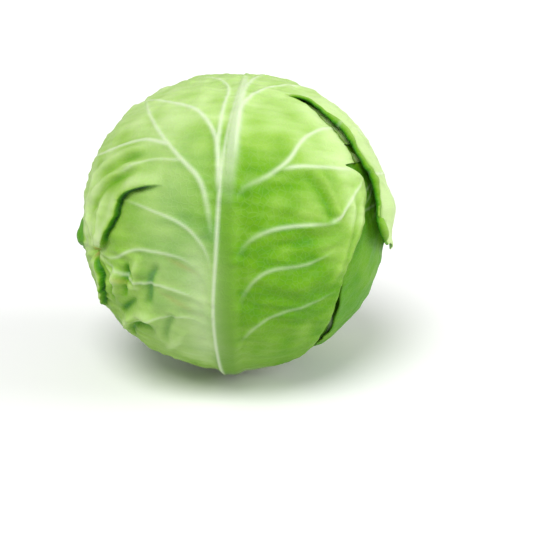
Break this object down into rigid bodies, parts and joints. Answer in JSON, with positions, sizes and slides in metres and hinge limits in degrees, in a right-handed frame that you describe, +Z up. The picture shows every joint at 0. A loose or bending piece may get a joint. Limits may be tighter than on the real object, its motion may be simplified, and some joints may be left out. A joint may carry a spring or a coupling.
{
  "type": "cabbage head",
  "caption": "Round green cabbage head of cupped overlapping leaves wrapped round a short core, standing on its cut stem.",
  "frame": {"origin": "middle of the stem's cut face, where the head stands", "axes": "+Z up through the core to the crown, -Y out through the middle of the outermost leaf, +X to that leaf's right seen from outside"},
  "size_m": [0.1677, 0.1677, 0.162],
  "materials": {
    "outer_leaf": "waxy fresh leaf, yellow-green with whitish veins and a soft satin sheen",
    "inner_leaf": "crisp pale yellow-green leaf, satin",
    "stem_core": "moist cut plant stem, cream, matt",
    "heart_bud": "tight pale yellow leaf bud, satin"
  },
  "bodies": {
    "root": {"stem": "stem_core", "heart_bud": "heart_bud", "wrapper_leaf_1": "outer_leaf", "wrapper_leaf_2": "outer_leaf", "wrapper_leaf_3": "outer_leaf", "wrapper_leaf_4": "outer_leaf", "wrapper_leaf_5": "outer_leaf", "wrapper_leaf_6": "outer_leaf", "inner_leaf_7": "inner_leaf", "inner_leaf_8": "inner_leaf", "inner_leaf_9": "inner_leaf", "inner_leaf_10": "inner_leaf", "inner_leaf_11": "inner_leaf", "inner_leaf_12": "inner_leaf", "inner_leaf_13": "inner_leaf", "inner_leaf_14": "inner_leaf", "inner_leaf_15": "inner_leaf", "inner_leaf_16": "inner_leaf", "inner_leaf_17": "inner_leaf", "inner_leaf_18": "inner_leaf", "inner_leaf_19": "inner_leaf"}
  },
  "joints": []
}
